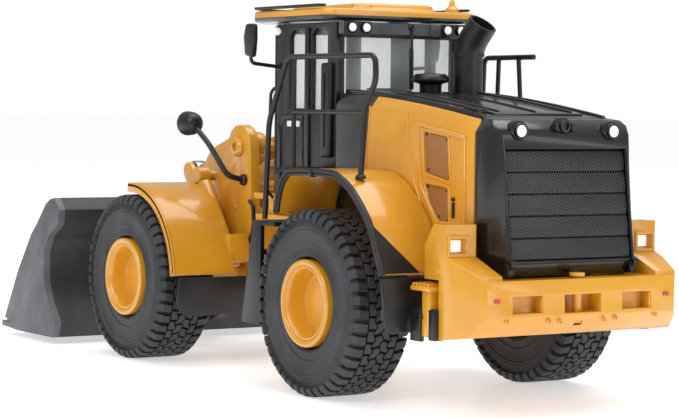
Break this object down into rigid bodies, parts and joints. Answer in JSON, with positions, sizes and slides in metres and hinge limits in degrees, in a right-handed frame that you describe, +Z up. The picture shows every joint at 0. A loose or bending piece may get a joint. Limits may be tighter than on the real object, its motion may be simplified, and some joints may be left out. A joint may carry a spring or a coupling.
{
  "type": "toy front loader",
  "caption": "Articulated die-cast toy wheel loader with cab, hood, fenders, rolling wheels, oscillating rear axle and a Z-bar lift linkage that raises and tips its bucket.",
  "frame": {"origin": "on the ground, midway along the model's length and width", "axes": "+X to the machine's left, +Y to its rear (the bucket points to -Y), +Z up"},
  "size_m": [0.0586, 0.162, 0.0699],
  "materials": {
    "yellow_paint": "gloss",
    "black_plastic": "satin",
    "grey_plastic": "matte",
    "tyre_rubber": "matte",
    "bright_steel": "polished",
    "bucket_grey": "satin",
    "cab_glass": "clear"
  },
  "bodies": {
    "rear_chassis": {"rear_frame": "yellow_paint", "steering_pin": "bright_steel", "hood_shell": "yellow_paint", "hood_top": "black_plastic", "rear_shroud": "black_plastic", "radiator_grille": "black_plastic", "left_vent_screen": "yellow_paint", "right_vent_screen": "yellow_paint", "counterweight": "yellow_paint", "tow_pin": "black_plastic", "exhaust_stack": "black_plastic", "air_precleaner": "black_plastic", "beacon": "yellow_paint", "left_rear_fender": "yellow_paint", "right_rear_fender": "yellow_paint", "left_mudguard": "black_plastic", "right_mudguard": "black_plastic", "left_ladder": "black_plastic", "right_ladder": "black_plastic", "left_handrail": "black_plastic", "right_handrail": "black_plastic", "cab_frame": "black_plastic", "cab_glazing": "cab_glass", "cab_seat": "grey_plastic", "steering_console": "black_plastic", "cab_roof": "yellow_paint", "roof_rails": "black_plastic", "rear_lamp_header": "grey_plastic", "left_mirror": "black_plastic", "right_mirror": "black_plastic"},
    "rear_axle": {"rear_axle_housing": "yellow_paint"},
    "rear_wheels": {"rear_axle_shaft": "bright_steel", "rear_left_rim": "yellow_paint", "rear_left_tyre": "tyre_rubber", "rear_right_rim": "yellow_paint", "rear_right_tyre": "tyre_rubber"},
    "front_chassis": {"front_frame": "yellow_paint", "front_axle_housing": "yellow_paint", "left_front_fender": "yellow_paint", "right_front_fender": "yellow_paint", "left_mudflap": "black_plastic", "right_mudflap": "black_plastic", "left_headlamp": "black_plastic", "right_headlamp": "black_plastic"},
    "front_wheels": {"front_axle_shaft": "bright_steel", "front_left_rim": "yellow_paint", "front_left_tyre": "tyre_rubber", "front_right_rim": "yellow_paint", "front_right_tyre": "tyre_rubber"},
    "lift_arms": {"lift_arms": "yellow_paint"},
    "bell_crank": {"bell_crank": "yellow_paint"},
    "tilt_link": {"tilt_link": "yellow_paint"},
    "tilt_barrel": {"tilt_barrel": "yellow_paint"},
    "tilt_rod": {"tilt_rod": "bright_steel"},
    "left_lift_barrel": {"left_lift_barrel": "yellow_paint"},
    "right_lift_barrel": {"right_lift_barrel": "yellow_paint"},
    "left_lift_rod": {"left_lift_rod": "bright_steel"},
    "right_lift_rod": {"right_lift_rod": "bright_steel"},
    "bucket": {"bucket": "bucket_grey"}
  },
  "joints": [
    {"name": "steer", "type": "hinge", "parent": "rear_chassis", "child": "front_chassis", "pos_m": [0, 0.007, 0.018], "axis": [0, 0, 1], "range_deg": [-38, 38]},
    {"name": "rear_oscillation", "type": "hinge", "parent": "rear_chassis", "child": "rear_axle", "pos_m": [0, 0.0405, 0.0161], "axis": [0, 1, 0], "range_deg": [-5, 5]},
    {"name": "rear_wheels_spin", "type": "hinge", "parent": "rear_axle", "child": "rear_wheels", "pos_m": [0, 0.0405, 0.0161], "axis": [1, 0, 0], "continuous": true},
    {"name": "front_wheels_spin", "type": "hinge", "parent": "front_chassis", "child": "front_wheels", "pos_m": [0, -0.0265, 0.0161], "axis": [1, 0, 0], "continuous": true},
    {"name": "lift", "type": "hinge", "parent": "front_chassis", "child": "lift_arms", "pos_m": [0, -0.0137, 0.0417], "axis": [-1, 0, 0], "range_deg": [0, 85]},
    {"name": "bucket_tilt", "type": "hinge", "parent": "lift_arms", "child": "bucket", "pos_m": [0, -0.0505, 0.008], "axis": [-1, 0, 0], "range_deg": [-115, 20]},
    {"name": "crank_turn", "type": "hinge", "parent": "lift_arms", "child": "bell_crank", "pos_m": [0, -0.0384, 0.026], "axis": [-1, 0, 0], "range_deg": [-4.72, 27.1]},
    {"name": "link_turn", "type": "hinge", "parent": "bell_crank", "child": "tilt_link", "pos_m": [0, -0.037, 0.012], "axis": [-1, 0, 0], "range_deg": [-75.86, 13.2]},
    {"name": "tilt_barrel_turn", "type": "hinge", "parent": "lift_arms", "child": "tilt_barrel", "pos_m": [0, -0.0137, 0.0417], "axis": [-1, 0, 0], "range_deg": [-0.67, 3.83]},
    {"name": "tilt_rod_slide", "type": "slide", "parent": "tilt_barrel", "child": "tilt_rod", "axis": [0, -0.9857, -0.1687], "range_m": [-0.00586, 0.00103]},
    {"name": "left_barrel_turn", "type": "hinge", "parent": "front_chassis", "child": "left_lift_barrel", "pos_m": [0, -0.013, 0.02], "axis": [-1, 0, 0], "range_deg": [-0.01, 24.77]},
    {"name": "left_rod_slide", "type": "slide", "parent": "left_lift_barrel", "child": "left_lift_rod", "axis": [0, -0.6143, 0.7891], "range_m": [-0.00002, 0.01362]},
    {"name": "right_barrel_turn", "type": "hinge", "parent": "front_chassis", "child": "right_lift_barrel", "pos_m": [0, -0.013, 0.02], "axis": [-1, 0, 0], "range_deg": [-0.01, 24.77]},
    {"name": "right_rod_slide", "type": "slide", "parent": "right_lift_barrel", "child": "right_lift_rod", "axis": [0, -0.6143, 0.7891], "range_m": [-0.00002, 0.01362]}
  ],
  "couplings": [
    {"joint": "crank_turn", "follows": "bucket_tilt", "ratio": -0.23556},
    {"joint": "link_turn", "follows": "bucket_tilt", "ratio": 0.65961},
    {"joint": "tilt_barrel_turn", "follows": "bucket_tilt", "ratio": -0.033195},
    {"joint": "tilt_rod_slide", "follows": "bucket_tilt", "m_per_rad": 0.0029076},
    {"joint": "left_barrel_turn", "follows": "lift", "ratio": 0.29135},
    {"joint": "left_rod_slide", "follows": "lift", "m_per_rad": 0.0091703},
    {"joint": "right_barrel_turn", "follows": "lift", "ratio": 0.29135},
    {"joint": "right_rod_slide", "follows": "lift", "m_per_rad": 0.0091703}
  ]
}
